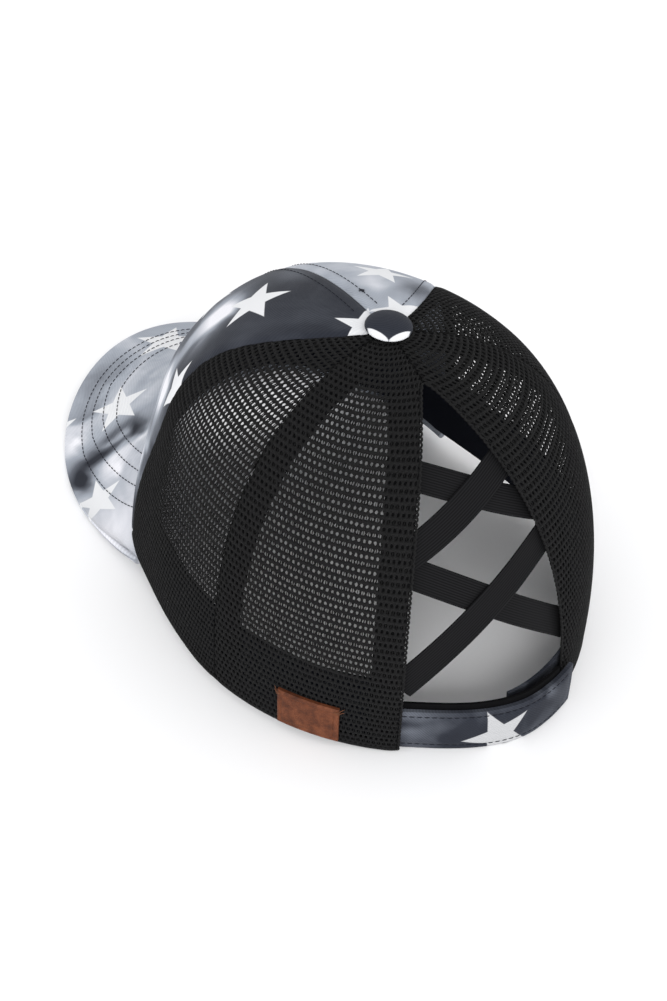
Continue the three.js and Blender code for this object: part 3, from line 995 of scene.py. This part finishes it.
# The net's cut loops along the opening
edge_parts = []
for hem, side in ((left_hem, 1), (right_hem, -1)):
    phi, lengths = meridian(SEAMS["rear_centre"] - side * OPENING["half"], OPENING["top"], 520)
    loops = LOOP_SIZE * abs(np.sin(np.pi * lengths / NET_PITCH + 0.6 * np.sin(lengths / 5)))
    theta = hem(phi) + side * loops / mm_per_degree(hem(phi), phi)
    edge_parts.append(tube(wall(theta, phi, 0.6 + 0 * phi), -inward(theta, phi), 0.45, 0.4, 7))
make_joined("hem_folds", edge_parts, net_black)

# Bands along the rim, as in the solids
SWEATBAND = {"margin": 4.5, "low": 1.5, "high": 30.5, "wall": 1.5}
CLOSURE = {"height": 18, "wall": 1.5, "tuck": 2.5, "lap": 0.8, "stand_off": 1.6, "from": 150, "to": 184}
BACKING = {"wall": 1.0, "extra": 2.2, "raise": 0.8, "from": 146.5, "to": 192.5}
TAB = {"wall": 1.2, "extra": 0.8, "reach": 19, "tuck": 7.5}

sweatband = make_band(
    "sweatband_lining", "black_lining", lining_black, 40,
    OPENING_TO + TAB["tuck"] + SWEATBAND["margin"] - 360, OPENING_FROM - SWEATBAND["margin"],
    SWEATBAND["low"], SWEATBAND["high"], INSIDE_COTTON, SWEATBAND["wall"], 240, 20,
)
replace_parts(sweatband, "sweatband")


def closure_inset(theta):
    share = np.clip((theta - CLOSURE["from"]) / (CLOSURE["to"] - CLOSURE["from"]), 0, 1)
    share = share * share * (3 - 2 * share)
    outside = -LAYER_GAP - CLOSURE["wall"] - CLOSURE["stand_off"]
    return INSIDE_NET + (outside - INSIDE_NET) * share


def backing_inset(theta):
    return closure_inset(theta) + CLOSURE["wall"] + LAYER_GAP


strap_to = OPENING_TO + CLOSURE["lap"]
closure = make_band(
    "closure_printed", "printed_cotton", strap_print, 50,
    OPENING_FROM - CLOSURE["tuck"], strap_to, 0, CLOSURE["height"],
    closure_inset, CLOSURE["wall"], 190, 34, puff=0.5, ends=(5, 0),
)
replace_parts(closure, "closure_strap")

backing = make_band(
    "closure_back", "black_lining", backing_black, 50,
    BACKING["from"], BACKING["to"], BACKING["raise"], CLOSURE["height"] + BACKING["extra"],
    backing_inset, BACKING["wall"], 120, 14,
)
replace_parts(backing, "closure_backing")

tab = make_band(
    "tab_printed", "printed_cotton", strap_print, 50,
    OPENING_TO - TAB["reach"], OPENING_TO + TAB["tuck"],
    BACKING["raise"], CLOSURE["height"] + TAB["extra"],
    INSIDE_NET + LAYER_GAP, TAB["wall"], 80, 20, puff=0.15, ends=(0, 5),
)
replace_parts(tab, "closure_tab")

ELASTIC = {"width": 10.6, "thickness": 1.0, "rib": 0.035, "ribs": 12, "lip": 0.34}
# layer, from, over, to, each by angle round and angle up
ELASTIC_ROUTES = [
    ("elastic_strap_1", 0, (147.5, 38.5), (170.0, 48.6), (195.5, 54.6)),
    ("elastic_strap_2", 0, (147.5, 12.0), (172.0, 28.4), (197.0, 35.6)),
    ("elastic_strap_3", 1, (151.0, 56.6), (168.5, 53.0), (198.0, 41.8)),
    ("elastic_strap_4", 1, (147.5, 36.4), (171.0, 29.4), (201.8, 12.2)),
]


def elastic(name, layer, start, over, end):
    inset = INSIDE_NET + layer * (ELASTIC["thickness"] + LAYER_GAP)
    share = np.linspace(0, 1, 72)
    run, rise = end[0] - start[0], end[1] - start[1]
    middle = (over[0] - start[0]) / run
    bow = (over[1] - (start[1] + rise * middle)) / (middle * (1 - middle))

    def angles(s):
        return start[0] + run * s, start[1] + rise * s + bow * s * (1 - s)

    def at(s):
        return wall(*angles(s), inset + 0 * s)

    along = unit(at(share + 0.02) - at(share - 0.02))
    into = inward(*angles(share))
    down = unit(np.cross(into, along))
    across = np.linspace(-1, 1, 85)
    ribs = ELASTIC["rib"] * (np.cos(across * np.pi * ELASTIC["ribs"]) - 1)
    relief = ribs - ELASTIC["lip"] * abs(across) ** 14
    beside = across * ELASTIC["width"] / 2
    base = at(share)[:, None] - down[:, None] * beside[None, :, None]
    outer = base - into[:, None] * relief[None, :, None]
    inner = base + into[:, None] * (ELASTIC["thickness"] + relief)[None, :, None]
    points, faces = shell(outer, inner)
    uvs = cloth_places(lengths_along(at(share))[:, None], beside[None, :])
    faces = faces[:, ::-1]
    band_name = name.replace("strap", "band")
    obj = make_object(band_name, points, faces, elastic_black, uvs, sharp=45)
    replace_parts(obj, name)


for route in ELASTIC_ROUTES:
    elastic(*route)

# The brim's cloth: its length outward, and half its width
BRIM_CLOTH = {"length": 75, "half_width": 110}


def brim_mesh():
    """Skin of the brim: over the top, round the outer edge and back underneath."""
    shares = np.linspace(-1, 1, 181)
    half = BRIM["thickness"] / 2
    outs = np.linspace(0, 1, 48)
    profile = [(out, half, 0.0) for out in outs]
    for turn in np.radians(np.linspace(90, -90, 9)[1:-1]):
        profile.append((1.0, half * math.sin(turn), half * math.cos(turn)))
    profile += [(out, -half, 0.0) for out in outs[::-1]]
    rows = []
    for out, lift, beyond in profile:
        middle = brim_middle(shares, out)
        up = brim_up(shares, out)
        across = unit(brim_middle(shares + 0.01, out) - brim_middle(shares - 0.01, out))
        inset = half if out == 1.0 else 0.0
        rows.append(middle + up * lift + np.cross(across, up) * (beyond - inset))
    grid = np.stack(rows)
    count, columns = grid.shape[:2]
    faces = grid_faces(count, columns, flip=True).tolist()
    end = (count - 1) * columns
    faces += [[end + i + 1, end + i, i, i + 1] for i in range(columns - 1)]
    for j in range(len(outs) - 1):
        corners = [row * columns for row in (j, count - 1 - j, count - 2 - j, j + 1)]
        faces.append(corners)
        faces.append([corner + columns - 1 for corner in (corners[0], *corners[:0:-1])])
    v = np.array([out for out, _, _ in profile])[:, None] * BRIM_CLOTH["length"]
    uvs = cloth_places(shares * BRIM_CLOTH["half_width"], v, sides=1)
    return grid.reshape(-1, 3), faces, uvs


points, faces, uvs = brim_mesh()
brim = make_object("brim_printed", points, faces, brim_print, uvs, sharp=60)
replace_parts(brim, "brim")

# The rows run with the edge in front and turn in towards the crown at the sides.
# Shares round, and each row's distances from the edge there
ROW_SHARES = [0, 0.1, 0.28, 0.42, 0.49, 0.56, 0.63, 0.71, 0.8]
BRIM_ROWS = [
    [12.5, 12.5, 10.8, 11.0, 11.8, 12.9, 16.2, 20.2, 26],
    [17.5, 17.5, 15.5, 16.8, 18.8, 23.7, 29.5, 36, 43],
    [22.4, 22.4, 20.3, 24.2, 28.5, 34.5, 41, 48, 55],
    [28.5, 28.5, 28.5, 33.6, 40, 47.5, 55, 62, 70],
]


def brim_line(distances, side):
    """A line on the brim at given distances from its outer edge."""
    shares = np.linspace(-0.97, 0.97, 400)
    distance = np.interp(abs(shares), ROW_SHARES, distances)
    spans = np.linalg.norm(brim_middle(shares, 1.0) - brim_middle(shares, 0.0), axis=-1)
    out = 1 - distance / spans
    keep = out > 0.03
    shares, out = shares[keep], out[keep]
    up = brim_up(shares, out) * side
    return brim_middle(shares, out) + up * (BRIM["thickness"] / 2), up


brim_parts = []
for distances in BRIM_ROWS:
    for side in (1, -1):
        brim_parts += stitches(*brim_line(distances, side), *BRIM_THREAD)
make_joined("brim_stitches", brim_parts, dark_thread)

# Topstitches on the front panels, beside the seams
TOPSTITCH = 4.8
KNOT_ANGLE = 78.0
seam_stitches = []
for edge, side in ((straight(centre), -1), (straight(centre), 1), (right_seam, 1)):
    phi = np.linspace(1, 84, 200)
    theta = edge(phi) + side * TOPSTITCH / mm_per_degree(edge(phi), phi)
    seam_stitches += stitches(wall(theta, phi, 0 * phi), -inward(theta, phi), *PANEL_THREAD)


def knot(theta, phi):
    """Three short threads over each other."""
    place, across, up, normal = crown_place(theta, phi)
    parts = []
    for turn in (15, 80, 140):
        line = place + np.outer([-1.2, -0.6, 0, 0.6, 1.2], turned(across, up, turn))
        line = line + np.outer([0, 0.25, 0.4, 0.25, 0], normal)
        parts.append(tube(line, np.tile(normal, (5, 1)), 0.17, 0.2, 5))
    return parts


seam_stitches += knot(centre - TOPSTITCH / float(mm_per_degree(centre, KNOT_ANGLE)), KNOT_ANGLE)
make_joined("front_stitches", seam_stitches, dark_thread)

# Stitches along the closure strap's two edges and across its end
closure_parts = []
level_from, level_to = STITCH_MARGIN, CLOSURE["height"] - STITCH_MARGIN
theta = np.linspace(OPENING_FROM + 0.5, strap_to - 1.5, 300)
inset = closure_inset(theta) - 0.05
for level in (level_from, level_to):
    closure_parts += stitches(*along_rim(theta, level, inset), *STRAP_THREAD)
level = np.linspace(level_from, level_to, 60)
theta = np.full(60, strap_to - 3.0)
inset = closure_inset(theta) - 0.05
closure_parts += stitches(*along_rim(theta, level, inset), *STRAP_END_THREAD)
make_joined("closure_stitches", closure_parts, dark_thread)

# Label, left bare, with a rounded edge and a pressed groove beside it
LABEL = {"width": 22, "height": 16, "wall": 1.2, "middle": 126, "raise": 1.4}
LABEL_EDGE = (0.45, 0.35)
LABEL_GROOVE = (0.22, 0.22)
GROOVE_INSET = 1.7
label_scale = float(np.hypot(*crown(LABEL["middle"], 0.0)[:2])) * math.pi / 180


def label_mesh():
    half_width, half_height = LABEL["width"] / 2, LABEL["height"] / 2
    half = half_width / label_scale
    theta = np.linspace(LABEL["middle"] - half, LABEL["middle"] + half, 89)
    level = np.linspace(LABEL["raise"], LABEL["raise"] + LABEL["height"], 65)
    theta, level = np.meshgrid(theta, level)
    x = (theta - LABEL["middle"]) * label_scale
    y = level - LABEL["raise"] - half_height
    to_edge = np.minimum(half_width - abs(x), half_height - abs(y))
    dip = seam_dip(to_edge, *LABEL_EDGE) + seam_dip(to_edge - GROOVE_INSET, *LABEL_GROOVE)
    phi = angle_at(theta, level)
    outer = wall(theta, phi, -LAYER_GAP - LABEL["wall"] + dip)
    return shell(outer, wall(theta, phi, -LAYER_GAP + 0.4 + 0 * theta))


points, faces = label_mesh()
label = make_object("label_bare", points, faces, brown_leather, sharp=50)
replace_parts(label, "leather_label")

# Loose threads at the label's upper corners: steps past the edge, and depths
TACK = {"steps": [-1.5, -0.8, 0.1, 0.5, 1.1, 1.7], "inset": [-1.65, -1.8, -1.75, -1.1, -0.5, -0.1]}
tack_parts = []
for side in (-1, 1):
    for drop, slope in ((0.7, 0.3), (1.5, -0.2)):
        steps = np.array(TACK["steps"])
        theta = LABEL["middle"] + side * (LABEL["width"] / 2 + steps) / label_scale
        level = LABEL["raise"] + LABEL["height"] - drop + slope * steps
        tack_parts.append(tube(*along_rim(theta, level, np.array(TACK["inset"])), 0.13, 0.15, 6))
make_joined("label_tacks", tack_parts, brown_thread)

BUTTON = {"radius": 8.3, "rise": 4.4, "lip": 1.2, "shank": 2.6, "under": 0.4}


def button_mesh():
    """Turned from a profile of radii and heights: shank, underside, rim and dome."""
    count = 64
    turns = np.linspace(0, 2 * np.pi, count, endpoint=False)
    profile = [(BUTTON["shank"], -2.6), (BUTTON["shank"], 0.3)]
    profile.append((BUTTON["radius"] - 1.4, BUTTON["under"]))
    for turn in np.linspace(-60, 90, 22):
        radius = BUTTON["radius"] * math.cos(math.radians(turn)) ** 0.9 if turn < 90 else 0.02
        swell = BUTTON["rise"] - BUTTON["lip"] if turn > 0 else BUTTON["lip"]
        height = BUTTON["lip"] + BUTTON["under"] + swell * math.sin(math.radians(turn))
        profile.append((radius, height))
    ring = np.stack([np.cos(turns), np.sin(turns), 0 * turns], -1)
    grid = np.stack([ring * radius + [0, 0, height] for radius, height in profile])
    grid = grid + np.array([0, -LEAN, HEIGHT])
    faces = grid_faces(len(profile), count, closed=True).tolist()
    faces.append(list(range(count))[::-1])
    faces.append([(len(profile) - 1) * count + k for k in range(count)])
    uvs = (grid[..., :2] - np.array([0, -LEAN])).reshape(-1, 2)
    return grid.reshape(-1, 3), faces, uvs


points, faces, uvs = button_mesh()
button = make_object("button_covered", points, faces, button_print, uvs)
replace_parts(button, "button")

# Floor, light and camera, in metres in the row frame
FLOOR = {"half": 6.0, "drop": 0.0002}
floor_mesh = bpy.data.meshes.new("floor")
floor_corners = [
    (x * FLOOR["half"], y * FLOOR["half"], -FLOOR["drop"])
    for x, y in ((-1, -1), (1, -1), (1, 1), (-1, 1))
]
floor_mesh.from_pydata(floor_corners, [], [(0, 1, 2, 3)])
floor = add_object("floor", floor_mesh)
floor_material, tree, shader = new_material("floor_white")
fill(tree, shader, {"Base Color": (0.86, 0.86, 0.87, 1), "Roughness": 0.9})
floor_mesh.materials.append(floor_material)


def area_light(name, place, aim, size, power):
    data = bpy.data.lights.new(name, "AREA")
    data.shape = "RECTANGLE"
    data.size, data.size_y = size
    data.energy = power
    obj = add_object(name, data)
    obj.location = place
    direction = Vector(aim) - Vector(place)
    obj.rotation_euler = direction.to_track_quat("-Z", "Y").to_euler()


area_light("key", (1.3, 2.2, 1.6), (0, 0, 0.05), (1.6, 1.0), 46)

# Light thrown back between the floor and the brim, seen through the side net
area_light("under_brim", (-0.03, -0.075, 0.011), (-0.03, -0.074, 0), (0.08, 0.03), 0.0065)

# The studio's walls are brighter than its ceiling
SKY = {"low": 2.3, "high": 0.87}
world = bpy.data.worlds.new("studio")
world.use_nodes = True
sky = world.node_tree
height = sky.nodes.new("ShaderNodeSeparateXYZ")
sky.links.new(coordinates(sky, "Generated"), height.inputs[0])
fade = maths(sky, "POWER", maths(sky, "SUBTRACT", 1.0, height.outputs["Z"], clamp=True), 2.0)
strength = maths(sky, "MULTIPLY_ADD", fade, SKY["low"] - SKY["high"], SKY["high"])
fill(sky, sky.nodes["Background"], {0: (1, 1, 1, 1), 1: strength})
bpy.context.scene.world = world
bpy.context.scene.view_settings.view_transform = "Standard"

CAMERA = {
    "target": (0.01755, 0.04053, 0.04694),
    "azimuth": 143.976,
    "elevation": 40.937,
    "roll": 2.59,
    "distance": 0.51814,
    "sensor": 36,
    "lens": 50.478,
    "near": 0.01,
}
azimuth, elevation, roll = (math.radians(CAMERA[k]) for k in ("azimuth", "elevation", "roll"))
level_back = Vector((math.sin(azimuth), -math.cos(azimuth), 0))
back = level_back * math.cos(elevation) + Vector((0, 0, math.sin(elevation)))
level_right = Vector((math.cos(azimuth), math.sin(azimuth), 0))
image_right = level_right * math.cos(roll) + back.cross(level_right) * math.sin(roll)
image_up = back.cross(image_right)
camera_data = bpy.data.cameras.new("camera")
camera_data.sensor_fit = "VERTICAL"
camera_data.sensor_height = CAMERA["sensor"]
camera_data.lens = CAMERA["lens"]
camera_data.clip_start = CAMERA["near"]
camera = add_object("camera", camera_data)
rotation = Matrix((image_right, image_up, back)).transposed()
place = Vector(CAMERA["target"]) + back * CAMERA["distance"]
camera.matrix_world = Matrix.Translation(place) @ rotation.to_4x4()
bpy.context.scene.camera = camera

bpy.context.view_layer.update()
